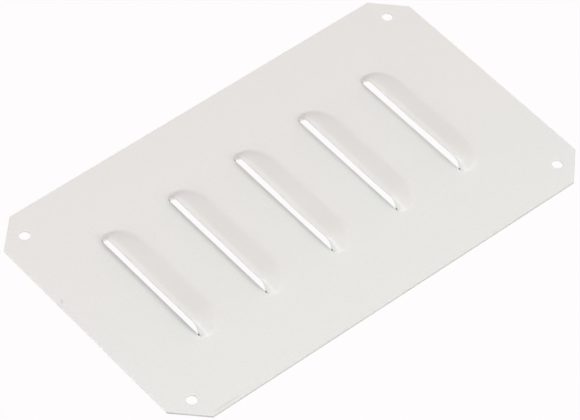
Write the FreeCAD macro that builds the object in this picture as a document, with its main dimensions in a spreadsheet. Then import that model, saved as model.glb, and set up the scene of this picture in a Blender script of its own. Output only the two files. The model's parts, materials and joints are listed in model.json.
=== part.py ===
# Louvred ventilation panel: one blank of flat sheet steel with cut corners, four screw
# holes and a row of pressed louvres. Each louvre is lanced along one long side and drawn
# up as a hood that is closed at both ends and open only at its mouth.
#
# Frame: the sheet lies flat with its underside on z = 0 and the origin at the middle of
# the blank. X runs along the blank, across the louvres, and every mouth faces -X.
import FreeCAD, Part
import math
import os
import Sketcher

doc = FreeCAD.newDocument("LouvredPanel")

# Driving dimensions, in millimetres apart from the count.
SIZES = {
    "plate_length": (246.0, "blank, along X"),
    "plate_width": (146.0, "blank, along Y"),
    "sheet_thickness": (1.0, "steel sheet"),
    "corner_cut": (14.5, "each leg of the 45 degree corner cuts"),
    "screw_hole_diameter": (5.3, "close clearance for an M5 screw"),
    "screw_hole_inset": (13.0, "hole centre in from both edges of the blank"),
    "louvre_count": (5, "louvres in the row"),
    "louvre_pitch": (39.2, "from one mouth to the next"),
    "row_offset": (-6.3, "middle of the row of mouths, along X"),
    "hood_length": (72.0, "outside of the hood at the sheet, along the mouth"),
    "hood_depth": (15.2, "mouth to the foot of the back slope"),
    "hood_rise": (5.7, "how far the sheet is lifted at the mouth"),
    "hood_corner_radius": (12.0, "rounding in plan of the hood's back corners, at the sheet"),
    "end_run": (2.6, "lean of each end wall from foot to crest"),
    "crest_width": (2.7, "nearly level strip behind the lip"),
    "crest_corner_radius": (2.4, "rounding in plan of the crest's back corners"),
    "crest_bend_radius": (3.0, "outside bend where the crest turns down"),
    "root_bend_radius": (4.0, "outside bend where the hood rises from the sheet"),
}
sizes = doc.addObject("Spreadsheet::Sheet", "Sizes")
for row, (alias, (value, note)) in enumerate(SIZES.items(), start=1):
    sizes.set(f"A{row}", alias)
    sizes.set(f"B{row}", str(value))
    sizes.setAlias(f"B{row}", alias)
    sizes.set(f"C{row}", note)
doc.recompute()

# Where a bend turns the sheet by an angle a, the bend line on the inside face stands back
# from the one on the outside face by the thickness times tan(a / 2).
BACK_ANGLE = "atan(Sizes.hood_rise / (Sizes.hood_depth - Sizes.crest_width))"
END_ANGLE = "atan(Sizes.hood_rise / Sizes.end_run)"
BACK_SHIFT = f"Sizes.sheet_thickness * tan({BACK_ANGLE} / 2)"
END_SHIFT = f"Sizes.sheet_thickness * tan({END_ANGLE} / 2)"

# Each form is made longer than the hood by this lead, and cut off square at the mouth
# once its bends are on, so that the bends run out cleanly.
LEAD = "4 * Sizes.sheet_thickness"


def origin_item(body, role):
    """The plane or axis of the body's own origin that has this role."""
    return next(item for item in body.Origin.OriginFeatures if item.Role == role)


def new_sketch(body, name, height="0"):
    """Start a sketch on the body's XY plane, lifted to a height given as a formula."""
    sketch = body.newObject("Sketcher::SketchObject", name)
    sketch.AttachmentSupport = [(origin_item(body, "XY_Plane"), "")]
    sketch.MapMode = "FlatFace"
    sketch.setExpression("AttachmentOffset.Base.z", height)
    return sketch


def point(x, y):
    return FreeCAD.Vector(x, y, 0)


def arc(centre_x, centre_y, radius, start, end):
    """A circular arc in the sketch plane, between two angles in degrees."""
    circle = Part.Circle(point(centre_x, centre_y), FreeCAD.Vector(0, 0, 1), radius)
    return Part.ArcOfCircle(circle, math.radians(start), math.radians(end))


def value_of(formula):
    """Work out a formula of the sheet's sizes as a plain number."""
    return float(sizes.evalExpression(formula))


def dimension(sketch, kind, picks, formula):
    """Add a dimension to a sketch and bind it to a formula."""
    index = sketch.addConstraint(Sketcher.Constraint(kind, *picks, value_of(formula)))
    sketch.setExpression(f"Constraints[{index}]", formula)


def relate(sketch, *relations):
    """Add geometric relations, each given as its kind and what it picks."""
    for relation in relations:
        sketch.addConstraint(Sketcher.Constraint(*relation))


def bend_lines(shape, level):
    """Names of the edges that run round a hood at one level, front and border left out."""
    across = [vertex.X for vertex in shape.Vertexes]
    along = [vertex.Y for vertex in shape.Vertexes]
    names = []
    for number, edge in enumerate(shape.Edges, start=1):
        middle = edge.valueAt((edge.FirstParameter + edge.LastParameter) / 2)
        heights = [middle.z] + [vertex.Z for vertex in edge.Vertexes]
        level_all_along = all(abs(height - level) < 0.001 for height in heights)
        behind_front = min(across) + 0.01 < middle.x < max(across) - 0.01
        between_ends = min(along) + 0.01 < middle.y < max(along) - 0.01
        if level_all_along and behind_front and between_ends:
            names.append(f"Edge{number}")
    return names


def rectangle(sketch, left, right, half_width):
    """Draw a rectangle that reaches these distances to each side of the origin."""
    x0 = -value_of(left)
    x1 = value_of(right)
    y1 = value_of(half_width)
    corners = [point(x0, -y1), point(x1, -y1), point(x1, y1), point(x0, y1)]
    for start, end in zip(corners, corners[1:] + corners[:1]):
        sketch.addGeometry(Part.LineSegment(start, end))
    relate(
        sketch,
        ("Coincident", 0, 2, 1, 1), ("Coincident", 1, 2, 2, 1),
        ("Coincident", 2, 2, 3, 1), ("Coincident", 3, 2, 0, 1),
        ("Horizontal", 0), ("Horizontal", 2), ("Vertical", 1), ("Vertical", 3),
    )
    dimension(sketch, "DistanceX", (0, 1, -1, 1), left)
    dimension(sketch, "DistanceX", (-1, 1, 2, 1), right)
    dimension(sketch, "DistanceY", (0, 1, -1, 1), half_width)
    dimension(sketch, "DistanceY", (-1, 1, 2, 1), half_width)


def hood_outline(body, name, height, depth, half_length, corner):
    """Sketch one level of a hood: straight ends and back, rounded back corners, and a
    straight front that stands ahead of the mouth by the lead."""
    sketch = new_sketch(body, name, height)
    front = -value_of(LEAD)
    back = value_of(depth)
    end = value_of(half_length)
    radius = value_of(corner)
    bend_x = back - radius
    bend_y = end - radius
    sketch.addGeometry([
        Part.LineSegment(point(front, -end), point(bend_x, -end)),
        arc(bend_x, -bend_y, radius, 270, 360),
        Part.LineSegment(point(back, -bend_y), point(back, bend_y)),
        arc(bend_x, bend_y, radius, 0, 90),
        Part.LineSegment(point(bend_x, end), point(front, end)),
        Part.LineSegment(point(front, end), point(front, -end)),
    ])
    relate(
        sketch,
        ("Tangent", 0, 2, 1, 1), ("Tangent", 1, 2, 2, 1), ("Tangent", 2, 2, 3, 1),
        ("Tangent", 3, 2, 4, 1), ("Coincident", 4, 2, 5, 1), ("Coincident", 5, 2, 0, 1),
        ("Horizontal", 0), ("Horizontal", 4), ("Vertical", 2), ("Equal", 1, 3),
        ("Symmetric", 4, 2, 0, 1, -1),
    )
    dimension(sketch, "Radius", (1,), corner)
    dimension(sketch, "DistanceX", (-1, 1, 2, 1), depth)
    dimension(sketch, "DistanceX", (0, 1, -1, 1), LEAD)
    dimension(sketch, "DistanceY", (-1, 1, 4, 2), half_length)
    return sketch


def hood_form(name, back_shift, end_shift, crest_bend, root_bend):
    """One face of the formed louvres as a row of solids, each a patch of sheet with the
    hood rising from it. The shifts draw its bend lines in from the outside face."""
    body = doc.addObject("PartDesign::Body", name)
    body.AllowCompound = True
    corner_shift = f"({back_shift} + {end_shift}) / 2"
    thickness = "Sizes.sheet_thickness"
    margin = f"2 * ({root_bend})"

    patch_sketch = new_sketch(body, name + "PatchSketch")
    half_width = f"Sizes.hood_length / 2 + {margin}"
    rectangle(patch_sketch, LEAD, f"Sizes.hood_depth + {margin}", half_width)
    patch = body.newObject("PartDesign::Pad", name + "Patch")
    patch.Profile = patch_sketch
    patch.setExpression("Length", thickness)

    foot = hood_outline(
        body, name + "Foot", thickness,
        f"Sizes.hood_depth - {back_shift}",
        f"Sizes.hood_length / 2 - {end_shift}",
        f"Sizes.hood_corner_radius - {corner_shift}",
    )
    crest = hood_outline(
        body, name + "Crest", f"{thickness} + Sizes.hood_rise",
        f"Sizes.crest_width - {back_shift}",
        f"Sizes.hood_length / 2 - Sizes.end_run - {end_shift}",
        f"min(Sizes.crest_corner_radius; 0.92 * Sizes.crest_width) - {corner_shift}",
    )
    hood = body.newObject("PartDesign::AdditiveLoft", name + "Hood")
    hood.Profile = foot
    hood.Sections = [crest]
    hood.Ruled = True
    doc.recompute()

    sheet_top = sizes.sheet_thickness
    crest_bends = body.newObject("PartDesign::Fillet", name + "CrestBends")
    crest_bends.Base = (hood, bend_lines(hood.Shape, sheet_top + sizes.hood_rise))
    crest_bends.setExpression("Radius", crest_bend)
    doc.recompute()
    root_bends = body.newObject("PartDesign::Fillet", name + "RootBends")
    root_bends.Base = (crest_bends, bend_lines(crest_bends.Shape, sheet_top))
    root_bends.setExpression("Radius", root_bend)
    doc.recompute()

    lead_sketch = new_sketch(body, name + "LeadSketch")
    rectangle(lead_sketch, f"2 * {LEAD}", "0", f"2 * ({half_width})")
    mouth_cut = body.newObject("PartDesign::Pocket", name + "MouthCut")
    mouth_cut.Profile = lead_sketch
    mouth_cut.Type = "ThroughAll"
    mouth_cut.SideType = "Symmetric"

    row_of_hoods = body.newObject("PartDesign::LinearPattern", name + "Row")
    row_of_hoods.TransformMode = "Whole shape"
    row_of_hoods.Direction = (origin_item(body, "X_Axis"), [""])
    row_of_hoods.Mode = "Spacing"
    row_of_hoods.setExpression("Offset", "Sizes.louvre_pitch")
    row_of_hoods.setExpression("Occurrences", "Sizes.louvre_count")
    body.Tip = row_of_hoods
    first_mouth = "Sizes.row_offset - (Sizes.louvre_count - 1) * Sizes.louvre_pitch / 2"
    body.setExpression("Placement.Base.x", first_mouth)
    return body


# Flat blank: sheared rectangle, corners cut at 45 degrees, four punched screw holes.
panel = doc.addObject("PartDesign::Body", "Panel")
panel.Label = "louvre_panel"
blank_sketch = new_sketch(panel, "BlankSketch")
half_length = "Sizes.plate_length / 2"
rectangle(blank_sketch, half_length, half_length, "Sizes.plate_width / 2")
blank = panel.newObject("PartDesign::Pad", "Blank")
blank.Profile = blank_sketch
blank.setExpression("Length", "Sizes.sheet_thickness")
doc.recompute()

corners = panel.newObject("PartDesign::Chamfer", "CornerCuts")
corners.Base = (blank, [
    f"Edge{number}" for number, edge in enumerate(blank.Shape.Edges, start=1)
    if edge.BoundBox.ZLength > sizes.sheet_thickness / 2
])
corners.setExpression("Size", "Sizes.corner_cut")
doc.recompute()

hole_sketch = new_sketch(panel, "ScrewHoleSketch", "Sizes.sheet_thickness")
for number, (side_x, side_y) in enumerate([(-1, -1), (1, -1), (1, 1), (-1, 1)]):
    circle = Part.Circle(point(side_x * 90, side_y * 50), FreeCAD.Vector(0, 0, 1), 2)
    hole_sketch.addGeometry(circle)
    if number:
        relate(hole_sketch, ("Equal", 0, number))
relate(
    hole_sketch,
    ("Symmetric", 0, 3, 1, 3, -2), ("Symmetric", 3, 3, 2, 3, -2),
    ("Symmetric", 1, 3, 2, 3, -1),
)
dimension(hole_sketch, "Diameter", (0,), "Sizes.screw_hole_diameter")
hole_x = "Sizes.plate_length / 2 - Sizes.screw_hole_inset"
hole_y = "Sizes.plate_width / 2 - Sizes.screw_hole_inset"
dimension(hole_sketch, "DistanceX", (-1, 1, 2, 3), hole_x)
dimension(hole_sketch, "DistanceY", (-1, 1, 2, 3), hole_y)
screw_holes = panel.newObject("PartDesign::Pocket", "ScrewHoles")
screw_holes.Profile = hole_sketch
screw_holes.Type = "ThroughAll"
doc.recompute()

# Pressed louvres: the die side adds the hoods, and the punch side hollows them out from
# below by one thickness of sheet, which leaves each mouth open.
outside = hood_form(
    "Outside", "0", "0",
    "Sizes.crest_bend_radius", "Sizes.root_bend_radius",
)
inside = hood_form(
    "Inside", BACK_SHIFT, END_SHIFT,
    "Sizes.crest_bend_radius - Sizes.sheet_thickness",
    "Sizes.root_bend_radius + Sizes.sheet_thickness",
)
inside.setExpression("Placement.Base.z", "-Sizes.sheet_thickness")
doc.recompute()

drawn = panel.newObject("PartDesign::Boolean", "DrawnHoods")
drawn.Type = "Fuse"
drawn.Group = [outside]
doc.recompute()
hollowed = panel.newObject("PartDesign::Boolean", "HollowedHoods")
hollowed.Type = "Cut"
hollowed.Group = [inside]
hollowed.Refine = True
panel.Tip = hollowed
doc.recompute()

for item in doc.Objects:
    if "Invalid" in item.State or "Error" in item.State:
        raise RuntimeError(f"{item.Label} failed: {item.State}")
if panel.Shape.isNull() or not panel.Shape.isValid() or len(panel.Shape.Solids) != 1:
    raise RuntimeError("louvre_panel is not one valid solid")

os.makedirs("parts", exist_ok=True)
panel.Shape.exportStep(f"parts/{panel.Label}.step")
print(f"{panel.Label}: volume {panel.Shape.Volume:.1f} mm3, box {panel.Shape.BoundBox}")
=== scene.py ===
import json
import math

import bmesh
import bpy
import numpy as np
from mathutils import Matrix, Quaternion, Vector
from mathutils.geometry import delaunay_2d_cdt


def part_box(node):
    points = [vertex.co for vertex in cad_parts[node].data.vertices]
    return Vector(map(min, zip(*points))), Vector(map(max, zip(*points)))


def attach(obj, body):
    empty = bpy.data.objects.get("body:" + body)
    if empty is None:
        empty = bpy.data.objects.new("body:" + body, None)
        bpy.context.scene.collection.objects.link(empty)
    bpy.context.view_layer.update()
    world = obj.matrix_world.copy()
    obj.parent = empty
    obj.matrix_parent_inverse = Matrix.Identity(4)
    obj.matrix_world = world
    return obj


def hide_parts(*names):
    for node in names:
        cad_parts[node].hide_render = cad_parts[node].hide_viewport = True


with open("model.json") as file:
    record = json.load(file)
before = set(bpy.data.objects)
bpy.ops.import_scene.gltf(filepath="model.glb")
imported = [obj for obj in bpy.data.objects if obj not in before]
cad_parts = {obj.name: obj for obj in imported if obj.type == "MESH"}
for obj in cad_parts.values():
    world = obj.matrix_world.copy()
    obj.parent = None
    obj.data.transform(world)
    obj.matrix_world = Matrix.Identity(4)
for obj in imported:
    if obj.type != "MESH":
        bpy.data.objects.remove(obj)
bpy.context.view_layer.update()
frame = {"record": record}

MM = 0.001

# ---- The panel's louvre hoods --------------------------------------------------------------------
# Five hoods, each drawn out of the steel sheet itself by a punch that lances one long edge and lifts
# it. The lip is the cut edge, the crest behind it is nearly level, and bends and an even slope run
# down from there to the flat sheet.
lowest, highest = (Vector(corner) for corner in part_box("louvre_panel"))
SHEET = 1.0 * MM
TOP = lowest.z + SHEET
RISE = highest.z - TOP
# The record's openings start this far behind the line on which each mouth is cut.
OPENING_GAP = 0.1 * MM
MOUTHS = [opening["box_m"][0][0] - OPENING_GAP for opening in frame["record"]["physics"]["openings"]]
PITCH = MOUTHS[1] - MOUTHS[0]
# The slit that the lance leaves between the lip and the sheet.
KERF = 0.12 * MM
# The hood's level lines, each a D with its straight side on the mouth. Back is how far behind the mouth
# its back lies, half is half its length, and widest is how far behind the mouth its ends reach out most.
# Sweep is how far a back corner curves along the hood, and nose is the radius that closes an end.
TOE = dict(back=17.3 * MM, half=38.7 * MM, widest=4.2 * MM, sweep=17.0 * MM, nose=4.6 * MM)
FOOT = dict(back=15.2 * MM, half=37.4 * MM, widest=3.4 * MM, sweep=15.5 * MM, nose=4.2 * MM)
CREST = dict(back=2.7 * MM, half=31.8 * MM, widest=1.2 * MM, sweep=6.0 * MM, nose=1.4 * MM)
LEVEL = dict(back=1.9 * MM, half=29.6 * MM, widest=0.6 * MM, sweep=5.0 * MM, nose=0.7 * MM)
# Every hood is pressed this much shorter at its -Y end.
NEAR_SHORTER = 0.5 * MM
# The columns that curl round a hood's end meet the lip within this length of the lip's corner.
LIP_END = 12 * MM
# How far each lip sags, the middle of the sag along y, and its spread.
SAGS = [(0.45 * MM, 1 * MM, 15 * MM), (0.30 * MM, -22 * MM, 8 * MM), (0.85 * MM, -9 * MM, 13 * MM),
        (0.75 * MM, -13 * MM, 16 * MM), (0.40 * MM, 3 * MM, 8 * MM)]


def hood_line(turn, side, back, half, widest, sweep, nose):
    """Points of one level line of the hood: a D whose straight side lies on the mouth.

    Turn 0 is its back, straight between the two ends. From there to the widest place each end is a
    quarter ellipse, back - widest by sweep, and on to the mouth, at turn 1, an arc of radius nose."""
    angle = turn * math.acos((KERF - widest) / nose)
    round_back = angle < math.pi / 2
    x = widest + np.where(round_back, back - widest, nose) * np.cos(angle)
    y = half + np.where(round_back, sweep, nose) * (np.sin(angle) - 1)
    return np.stack([x, side * y + np.clip(-side, 0, 1) * NEAR_SHORTER], -1)


def hood_surface(end_columns=36, back_columns=24, bend_rows=9, slope_rows=4, last_turn=0.92):
    """Grid of points over one hood: rows from its toe on the sheet up to the lip, columns round its D.

    Four level lines carry it: the toe, where it leaves the sheet; the foot and the crest, where sheet,
    slope and level top would meet if they were sharp; and the line from which the top is level. Each
    column rises by an arc, tangent from toe to slope, a straight slope, and an arc onto the top. The
    last row is the lip: a straight line at the top's height, where every column ends.

    The columns of an end are even in turn, up to last_turn and then the mouth itself, because closer
    ones would be slivers."""
    end_turn = np.append(np.linspace(0, last_turn, end_columns - 1), 1)
    turn = np.concatenate([end_turn[::-1], np.zeros(back_columns), end_turn])
    middle = np.linspace(-1, 1, back_columns + 2)[1:-1]
    side = np.concatenate([-np.ones(end_columns), middle, np.ones(end_columns)])
    toe, foot, crest, level = (hood_line(turn, side, **line) for line in (TOE, FOOT, CREST, LEVEL))

    # In each column's own upright plane: out runs from the crest to the foot, and up is the height.
    run, low, high = (np.linalg.norm(gap, axis=1) for gap in (foot - crest, toe - foot, crest - level))
    slope = np.arctan2(RISE, run)
    low_radius, high_radius = low / np.tan(slope / 2), high / np.tan(slope / 2)
    bend = np.linspace(0, 1, bend_rows)[:, None] * slope
    low_out = run + low - low_radius * np.sin(bend)
    low_up = low_radius * (1 - np.cos(bend))
    high_out = high_radius * np.sin(bend[::-1]) - high
    high_up = RISE - high_radius * (1 - np.cos(bend[::-1]))
    share = np.linspace(0, 1, slope_rows + 2)[1:-1, None]
    out = np.vstack([low_out, low_out[-1] + (high_out[0] - low_out[-1]) * share, high_out])
    up = np.vstack([low_up, low_up[-1] + (high_up[0] - low_up[-1]) * share, high_up])

    # Seen from above: each point lies on the broken line from toe to foot, crest and level line.
    on_slope = np.clip(out / run, 0, 1)[..., None]
    past_foot = np.clip((out - run) / low, 0, 1)[..., None]
    past_crest = np.clip(-out / high, 0, 1)[..., None]
    plan = crest + (foot - crest) * on_slope + (toe - foot) * past_foot + (level - crest) * past_crest
    lip_corner = np.where(side < 0, -plan[-1, 0, 1], plan[-1, -1, 1])
    lip = np.stack([np.full(turn.size, KERF), side * (lip_corner - (1 - turn) * LIP_END)], -1)
    x, y = np.moveaxis(np.vstack([plan, lip[None]]), -1, 0)
    return x, y, np.vstack([up, np.full(turn.size, RISE)])


hood_x, hood_y, hood_up = hood_surface()
slot_near, slot_far = hood_y[0, 0], hood_y[0, -1]


# ---- The panel's flat sheet ----------------------------------------------------------------------
# The blank is 1 mm sheet steel with its corners cut off at 45 degrees and a plain round screw hole
# near each. It is cut and punched first, then lanced and pressed, so hoods and sheet are one skin.
CORNER_CUT = 14.5 * MM
SCREWS = next(mount["dims"] for mount in frame["record"]["mounts"] if mount["kind"] == "bolt_pattern")
HOLE_X, HOLE_Y = SCREWS["spacing_x_mm"] / 2 * MM, SCREWS["spacing_y_mm"] / 2 * MM
HOLE_RADIUS = SCREWS["hole_r_mm"] * MM
# Every cut edge has a band of four-sided faces beside it, so that it can be rounded evenly. Beside a
# slot the band narrows to nothing over the last stretch before each tip.
BAND = 0.8 * MM
BAND_END = 3 * MM
SLOT_POINTS = 65
# Points of the skin within a weld of each other are merged. A hair is the least length that counts.
WELD = 0.004 * MM
HAIR = 0.001 * MM
skin_points, skin_faces = [], []


def add_patch(points, faces):
    """Add points to the skin, on the sheet's top unless they have a height, and faces numbered from 0."""
    skin_faces.extend((faces + sum(len(patch) for patch in skin_points)).tolist())
    if points.shape[1] == 2:
        points = np.column_stack([points, np.full(len(points), TOP)])
    skin_points.append(points)


def ring(points):
    """Pairs of neighbours round a closed loop of this many points."""
    index = np.arange(points)
    return np.stack([index, np.roll(index, -1)], 1)


def add_band(edge, beside, pairs):
    """Join a cut edge and the line beside it, point to point, by a face at each pair of neighbours."""
    add_patch(np.vstack([edge, beside]), np.column_stack([pairs, pairs[:, ::-1] + len(edge)]))


def blank_outline(inset):
    """The blank's eight corners, with every side moved inwards by the inset."""
    x, y = highest.x - inset, highest.y - inset
    cut = CORNER_CUT - inset * (2 - math.sqrt(2))
    return np.array([(x, y - cut), (x - cut, y), (cut - x, y), (-x, y - cut),
                     (-x, cut - y), (cut - x, -y), (x - cut, -y), (x, cut - y)])


def hole_rim(radius, x, y, points=48):
    """A circle round a screw hole: its centre plus the radius times a full turn's cosine and sine."""
    turn = np.linspace(0, 2 * math.pi, points, endpoint=False)
    return np.stack([x + radius * np.cos(turn), y + radius * np.sin(turn)], 1)


def inside(points, loop):
    """True for each point in the closed loop: a ray from it along x crosses the loop an odd number
    of times."""
    a, b = loop[None], np.roll(loop, -1, 0)[None]
    px, py = points[:, :1], points[:, 1:]
    straddles = (a[..., 1] > py) != (b[..., 1] > py)
    with np.errstate(divide="ignore", invalid="ignore"):
        cross = a[..., 0] + (py - a[..., 1]) * (b[..., 0] - a[..., 0]) / (b[..., 1] - a[..., 1])
    return (straddles & (px < cross)).sum(1) % 2 == 1


def flat_skin(loops):
    """Triangles that fill the sheet between its outline, the first loop, and every other loop, a hole."""
    starts = np.cumsum([0] + [len(loop) for loop in loops[:-1]])
    edges = np.vstack([ring(len(loop)) + start for loop, start in zip(loops, starts)])
    hull_triangles, nearest = 0, 1e-9
    points = [Vector(point) for point in np.vstack(loops).tolist()]
    made = delaunay_2d_cdt(points, edges.tolist(), [], hull_triangles, nearest)
    flat = np.array([tuple(point) for point in made[0]])
    faces = np.array(list(made[2]))
    middle = flat[faces].mean(1)
    keep = inside(middle, loops[0])
    for loop in loops[1:]:
        keep &= ~inside(middle, loop)
    return flat, faces[keep]


screw_places = [(side_x * HOLE_X, side_y * HOLE_Y) for side_x in (-1, 1) for side_y in (-1, 1)]
borders = [(blank_outline(0), blank_outline(BAND))]
borders += [(hole_rim(HOLE_RADIUS, *place), hole_rim(HOLE_RADIUS + BAND, *place)) for place in screw_places]
for edge, beside in borders:
    add_band(edge, beside, ring(len(edge)))

slot_y = np.linspace(slot_far, slot_near, SLOT_POINTS)
from_tip = np.minimum(slot_far - slot_y, slot_y - slot_near)
band_width = BAND * np.clip(from_tip / BAND_END, 0, 1) ** 0.5
hood_gaps = []
for mouth in MOUTHS:
    toe = np.stack([hood_x[0] + mouth, hood_y[0]], 1)
    edge = np.stack([np.full(SLOT_POINTS, mouth), slot_y], 1)
    beside = np.stack([mouth - band_width, slot_y], 1)
    add_band(edge, beside, ring(SLOT_POINTS)[:-1])
    hood_gaps.append(np.vstack([toe, edge[:1], beside[1:-1], edge[-1:]]))
add_patch(*flat_skin([beside for edge, beside in borders] + hood_gaps))

rows, columns = hood_x.shape
grid = np.arange(rows * columns).reshape(rows, columns)
quads = np.stack([grid[:-1, :-1], grid[:-1, 1:], grid[1:, 1:], grid[1:, :-1]], -1).reshape(-1, 4)
for mouth, (sag, sag_middle, sag_spread) in zip(MOUTHS, SAGS):
    lowered = sag * np.exp(-((hood_y - sag_middle) / sag_spread) ** 2) * (hood_up / RISE) ** 2
    add_patch(np.stack([hood_x + mouth, hood_y, hood_up - lowered + TOP], -1).reshape(-1, 3), quads)

skin = bpy.data.meshes.new("panel")
skin.from_pydata(np.vstack(skin_points).tolist(), [], skin_faces)
work = bmesh.new()
work.from_mesh(skin)
bmesh.ops.remove_doubles(work, verts=work.verts, dist=WELD)
bmesh.ops.dissolve_degenerate(work, edges=work.edges, dist=HAIR)
for face in work.faces:
    if face.normal.z < 0:
        face.normal_flip()
work.to_mesh(skin)
work.free()


# ---- The panel's thickness and cut edges ---------------------------------------------------------
# The skin gets the sheet's thickness below it. The lips are cut square to the panel, and every cut
# edge is rolled over a little and rounded by the coat, all but the torn tips of the slots.
EDGE_ROUND = 0.15 * MM
TORN_TIP = 1.4 * MM
# Below this height over the sheet, the near end of a lip is pulled down to the underside: a wall put in the
# slot's tip, where there is only shade, to carry the painted shade there.
SHADE_WALL_HEIGHT = 2.4 * MM
# Two faces that meet at more than this angle keep a crisp edge between them.
CRISP = math.radians(50)

panel = bpy.data.objects.new("panel", skin)
bpy.context.scene.collection.objects.link(panel)
wall = panel.modifiers.new("sheet", "SOLIDIFY")
wall.thickness = SHEET
wall.offset = -1
wall.use_even_offset = True
solid = bpy.data.meshes.new_from_object(panel.evaluated_get(bpy.context.evaluated_depsgraph_get()))
panel.modifiers.remove(wall)

# The wall keeps the skin's points first, then the same ones on the lower face. Each point of a lip's
# lower edge moves right under its upper one.
both_faces = np.empty(len(solid.vertices) * 3, np.float32)
solid.vertices.foreach_get("co", both_faces)
upper, below = both_faces.reshape(2, -1, 3)
on_lip = (np.abs(upper[:, :1] - np.array(MOUTHS) - KERF) < HAIR).any(1)
on_lip &= (slot_near - HAIR <= upper[:, 1]) & (upper[:, 1] <= slot_far + HAIR)
below[on_lip, 0] = upper[on_lip, 0]
# The near tips' walls, put where there is only shade, carry the coat's painted shade.
shade_wall = on_lip & (upper[:, 1] < 0) & (upper[:, 2] < TOP + SHADE_WALL_HEIGHT)
below[shade_wall, 2] = lowest.z
solid.vertices.foreach_set("co", both_faces)
solid.update()

work = bmesh.new()
work.from_mesh(solid)
tips = [Vector((mouth, end, TOP)) for mouth in MOUTHS for end in (slot_near, slot_far)]
rim = set()
for face in work.faces:
    numbers = [point.index for point in face.verts]
    if min(numbers) < len(upper) <= max(numbers):
        rim.add(face)


def is_cut_edge(edge):
    """True where a face of the cut rim meets the upper or lower face, away from the slots' tips."""
    if len(edge.link_faces) != 2 or (edge.link_faces[0] in rim) == (edge.link_faces[1] in rim):
        return False
    return min((end.co - tip).length for end in edge.verts for tip in tips) > TORN_TIP


bmesh.ops.bevel(work, geom=[edge for edge in work.edges if is_cut_edge(edge)], offset=EDGE_ROUND,
                segments=2, profile=0.5, affect="EDGES", clamp_overlap=False)
for face in work.faces:
    face.smooth = True
for edge in work.edges:
    edge.smooth = len(edge.link_faces) == 2 and edge.calc_face_angle() < CRISP
work.to_mesh(skin)
work.free()
shading = panel.modifiers.new("shading", "WEIGHTED_NORMAL")
shading.mode = "FACE_AREA"
shading.keep_sharp = True
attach(panel, "root")
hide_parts("louvre_panel")


# ---- The panel's powder coat ---------------------------------------------------------------------
# A pale warm grey polyester powder, sprayed on all over and baked, with a fine orange peel and a satin
# gloss. It is a little marked by handling, and its colour carries painted light: painted shade on the
# sheared long edges, the corner cuts and the slots' tips, painted light on the short edges and the lips,
# and a painted tint of the light from the near side to the far one.
# The coat's colour at the near and at the far side; the shift between them is a painted tint of the light.
PALE_NEAR_PAINTED_TINT = (0.788, 0.800, 0.778, 1)
PALE_FAR_PAINTED_TINT = (0.806, 0.795, 0.779, 1)
SATIN = 0.29
PEEL_DEPTH = 0.006 * MM
# How far in from each kind of cut edge its painted shade or painted light reaches.
SIDE_DEPTH = 0.12 * MM
CORNER_DEPTH = 0.15 * MM
LIP_DEPTH = 0.17 * MM


class Wire:
    """A shader socket that can be written into formulas: + - * / join it to numbers and other wires."""

    def __init__(self, tree, socket=None):
        self.tree, self.socket = tree, socket

    def node(self, kind, settings=None, inputs=None, output=0):
        """Add a node of this type, set it up, fill its inputs by name or number, and return one output."""
        node = self.tree.nodes.new(kind)
        for name, value in (settings or {}).items():
            setattr(node, name, value)
        for name, value in (inputs or {}).items():
            if isinstance(value, Wire):
                self.tree.links.new(value.socket, node.inputs[name])
            else:
                node.inputs[name].default_value = value
        return Wire(self.tree, node.outputs[output] if node.outputs else None)

    def also(self, output):
        """Another output of the node that this wire comes from."""
        return Wire(self.tree, self.socket.node.outputs[output])

    def math(self, operation, *others):
        """A Math node on this wire and the others, in that order."""
        return self.node("ShaderNodeMath", dict(operation=operation), dict(enumerate([self, *others])))

    def __add__(self, other):
        return self.math("ADD", other)

    def __sub__(self, other):
        return self.math("SUBTRACT", other)

    def __rsub__(self, other):
        return self.math("MULTIPLY_ADD", -1, other)

    def __mul__(self, other):
        return self.math("MULTIPLY", other)

    def __truediv__(self, other):
        return self.math("DIVIDE", other)

    __radd__, __rmul__ = __add__, __mul__


coat = bpy.data.materials.new("powder_coat")
coat.use_nodes = True
gloss = coat.node_tree.nodes["Principled BSDF"]
surface = Wire(coat.node_tree).node("ShaderNodeTexCoord", output="Object")
along = surface.node("ShaderNodeSeparateXYZ", inputs={"Vector": surface}, output="X")
across, height = along.also("Y"), along.also("Z")


def noise(scale, detail=2.0, roughness=0.5):
    """Noise from 0 to 1 with this many features to the metre."""
    return surface.node("ShaderNodeTexNoise", inputs={
        "Vector": surface, "Scale": scale, "Detail": detail, "Roughness": roughness})


def streak(x, y, angle, length, width):
    """Mask of a straight mark: 1 on its middle line, fading to 0 at its sides and at both its ends."""
    cosine, sine = math.cos(math.radians(angle)), math.sin(math.radians(angle))
    lengthwise = (along - x) * cosine + (across - y) * sine
    sideways = (across - y) * cosine - (along - x) * sine
    ends = (1 - lengthwise.math("ABSOLUTE") / (length / 2)).math("MAXIMUM", 0.0)
    sides = (1 - sideways.math("ABSOLUTE") / width).math("MAXIMUM", 0.0)
    return ends.math("POWER", 0.5) * sides


# Handling marks, all on the upper face: a short scratch near one end, a long faint one beside the
# first louvre, and a scuff along the near edge.
on_upper_face = height.math("GREATER_THAN", 0.5 * SHEET)
short_scratch = streak(x=-120.5 * MM, y=19 * MM, angle=60, length=3.5 * MM, width=0.5 * MM)
long_scratch = streak(x=-64 * MM, y=23 * MM, angle=55, length=7 * MM, width=0.22 * MM)
scratches = (short_scratch * 3 + long_scratch) * on_upper_face
scuff = streak(x=-99.5 * MM, y=-71.2 * MM, angle=1, length=15 * MM, width=0.8 * MM)
scuff = scuff * on_upper_face * (noise(700, 4.0, 0.7) + 0.3)
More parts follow.
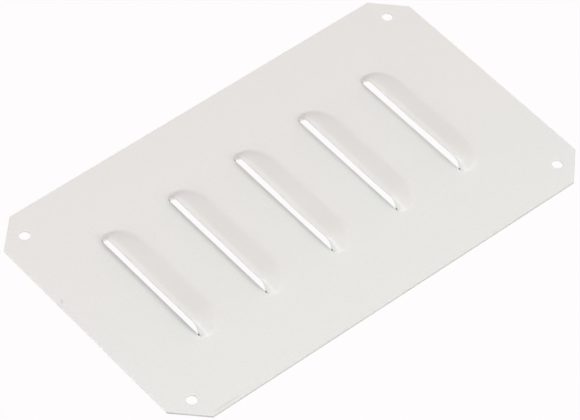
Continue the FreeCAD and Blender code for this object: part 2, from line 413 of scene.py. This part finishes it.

# The sheared long edges and the corner cuts get painted shade, a shade darker, and the short edges and the
# lips get painted light, a little lighter.
from_middle_x, from_middle_y = along.math("ABSOLUTE"), across.math("ABSOLUTE")
long_edge = from_middle_y.math("GREATER_THAN", highest.y - SIDE_DEPTH)
corner_edge = (from_middle_y + from_middle_x).math(
    "GREATER_THAN", highest.x + highest.y - CORNER_CUT - CORNER_DEPTH)
edge_painted_shade = long_edge.math("MAXIMUM", corner_edge)
short_edge = from_middle_x.math("GREATER_THAN", highest.x - SIDE_DEPTH)
mouth_distance = (along - MOUTHS[0]).math("PINGPONG", PITCH / 2)
lip_edge = mouth_distance.math("LESS_THAN", LIP_DEPTH) * height.math("GREATER_THAN", TOP + 0.4 * MM)
edge_painted_light = lip_edge.math("MAXIMUM", short_edge)


def tip_shade_spot(y, z, radius):
    """Mask of a soft oval spot of painted shade on every mouth line at this y and z: 1 inside it, 0
    outside.

    The distance from its middle counts more across the mouth line and less upwards. It is taken
    from 1.4 radii, in units of half a radius, and kept between 0 and 1."""
    off_y, off_z = across - y, (height - z) * 0.7
    squares = mouth_distance * mouth_distance * 2.5 + off_y * off_y + off_z * off_z
    spot = (1.4 - squares.math("SQRT") / radius) * 2.0
    return spot.math("MINIMUM", 1.0).math("MAXIMUM", 0.0)


# Each slot's two tips get a dark spot of painted shade. Past the row's ends there are no mouths to mark.
near_tip_shade = tip_shade_spot(y=-33.9 * MM, z=0.8 * MM, radius=0.45 * MM)
far_tip_shade = tip_shade_spot(y=35.0 * MM, z=1.0 * MM, radius=0.22 * MM)
from_row_middle = (along - (MOUTHS[0] + MOUTHS[-1]) / 2).math("ABSOLUTE")
in_row = from_row_middle.math("LESS_THAN", len(MOUTHS) / 2 * PITCH)
tip_shade = in_row * near_tip_shade.math("MAXIMUM", far_tip_shade)

# The tone is the share of the colour that is left by the clouding of the coat, its grain and its speckle,
# then by the marks, and then by the painted shade at the slots' tips, the painted shade on the long edges
# and corner cuts, and the painted light on the short edges and lips. The colour itself shifts a little from
# the near side to the far one, a painted tint of the light.
grain = noise(2600)
tone = 1.0 + (noise(14, 3.0) - 0.5) * 0.014 + (grain - 0.5) * 0.14 + (noise(1100) - 0.5) * 0.06
tone = tone - scratches * 0.10 - scuff * 0.20
# Painted shade at the tips and on the long edges and corner cuts, painted light on the short edges and
# lips.
tone = tone * (1 - tip_shade * 0.72) * (1 - edge_painted_shade * 0.24) * (1 + edge_painted_light * 0.2)
painted_tint_drift = across / (highest.y - lowest.y) + 0.5
hue = surface.node("ShaderNodeMix", dict(data_type="RGBA"), {0: painted_tint_drift, 6: PALE_NEAR_PAINTED_TINT, 7: PALE_FAR_PAINTED_TINT}, output=2)
tint = surface.node("ShaderNodeVectorMath", dict(operation="SCALE"), {0: hue, "Scale": tone})
worn = SATIN + (noise(60, 3.0) - 0.5) * 0.04 + scratches * 0.2 + scuff * 0.2
peel = noise(700, 1.0) * 0.6 + grain * 0.25 - scratches * 0.5
bump = surface.node("ShaderNodeBump", inputs={"Height": peel, "Distance": PEEL_DEPTH, "Strength": 1.0})
for wire, socket in ((tint, "Base Color"), (worn, "Roughness"), (bump, "Normal")):
    coat.node_tree.links.new(wire.socket, gloss.inputs[socket])
panel.data.materials.append(coat)

# ---- Camera --------------------------------------------------------------------------------------
# A long lens on the mouths' side, looking down at the panel with its corner at -X and -Y nearest. The
# lens is in millimetres for a sensor 36 mm wide, and the camera is rolled a little about its own axis.
AZIMUTH, ELEVATION, ROLL = (math.radians(angle) for angle in (-42.866, 49.727, 3.325))
DISTANCE = 1.64194
AIM = Vector((-0.00516, -0.003139, 0))
LENS = 221.785
away = Vector((math.sin(AZIMUTH) * math.cos(ELEVATION), -math.cos(AZIMUTH) * math.cos(ELEVATION),
               math.sin(ELEVATION)))
camera = bpy.data.objects.new("camera", bpy.data.cameras.new("camera"))
bpy.context.scene.collection.objects.link(camera)
camera.data.lens = LENS
camera.data.clip_end = 10
camera.location = AIM + away * DISTANCE
camera.rotation_mode = "QUATERNION"
camera.rotation_quaternion = (-away).to_track_quat("-Z", "Y") @ Quaternion((0, 0, 1), ROLL)
bpy.context.scene.camera = camera

# ---- Floor and light -----------------------------------------------------------------------------
# A matt studio table that the camera sees as almost white, and that glossy surfaces mirror as white
# too, under a pale warm surround and four soft rectangular lamps.
FLOOR_SIDE = 6
TABLE_COLOR = (0.85, 0.85, 0.85, 1)
WHITE = (0.995, 0.976, 0.985, 1)
WHITENESS = 0.975
SURROUND_COLOR = (1.0, 0.845, 0.84, 1)
SURROUND_STRENGTH = 0.405
# Each lamp's name, place, width, length, power in watts and colour. All of them face the origin.
LAMPS = [("overhead", (0.05, -0.20, 1.1), 1.1, 3.0, 13.0, (0.92, 1.0, 0.985)),
         ("front_fill", (-1.35, -0.25, 0.5), 1.2, 0.8, 4.2, (0.95, 1.0, 0.99)),
         ("back_right", (1.3, 0.1, 0.75), 1.0, 0.8, 1.7, (1.0, 0.78, 0.82)),
         ("side", (0.15, -1.0, 0.75), 0.3, 0.6, 2.4, (0.93, 1.0, 0.97))]

bpy.ops.mesh.primitive_plane_add(size=FLOOR_SIDE)
floor = bpy.context.object
floor.name = "floor"
table = bpy.data.materials.new("white_table")
table.use_nodes = True
table.node_tree.nodes.clear()
ray = Wire(table.node_tree).node("ShaderNodeLightPath", output="Is Camera Ray")
sees_white = ray + ray.also("Is Transmission Ray") + ray.also("Is Glossy Ray")
matt = ray.node("ShaderNodeBsdfDiffuse", inputs={"Color": TABLE_COLOR})
white = ray.node("ShaderNodeEmission", inputs={"Color": WHITE, "Strength": 1.0})
mixed = ray.node("ShaderNodeMixShader", inputs={0: sees_white * WHITENESS, 1: matt, 2: white})
ray.node("ShaderNodeOutputMaterial", inputs={"Surface": mixed})
floor.data.materials.append(table)

world = bpy.data.worlds.new("surround")
bpy.context.scene.world = world
world.use_nodes = True
surround = world.node_tree.nodes["Background"]
surround.inputs["Color"].default_value = SURROUND_COLOR
surround.inputs["Strength"].default_value = SURROUND_STRENGTH
for name, place, width, length, power, color in LAMPS:
    lamp = bpy.data.objects.new(name, bpy.data.lights.new(name, "AREA"))
    bpy.context.scene.collection.objects.link(lamp)
    lamp.data.shape = "RECTANGLE"
    lamp.data.size, lamp.data.size_y = width, length
    lamp.data.energy, lamp.data.color = power, color
    lamp.location = place
    lamp.rotation_mode = "QUATERNION"
    lamp.rotation_quaternion = Vector(place).to_track_quat("Z", "Y")
bpy.context.scene.view_settings.view_transform = "Standard"
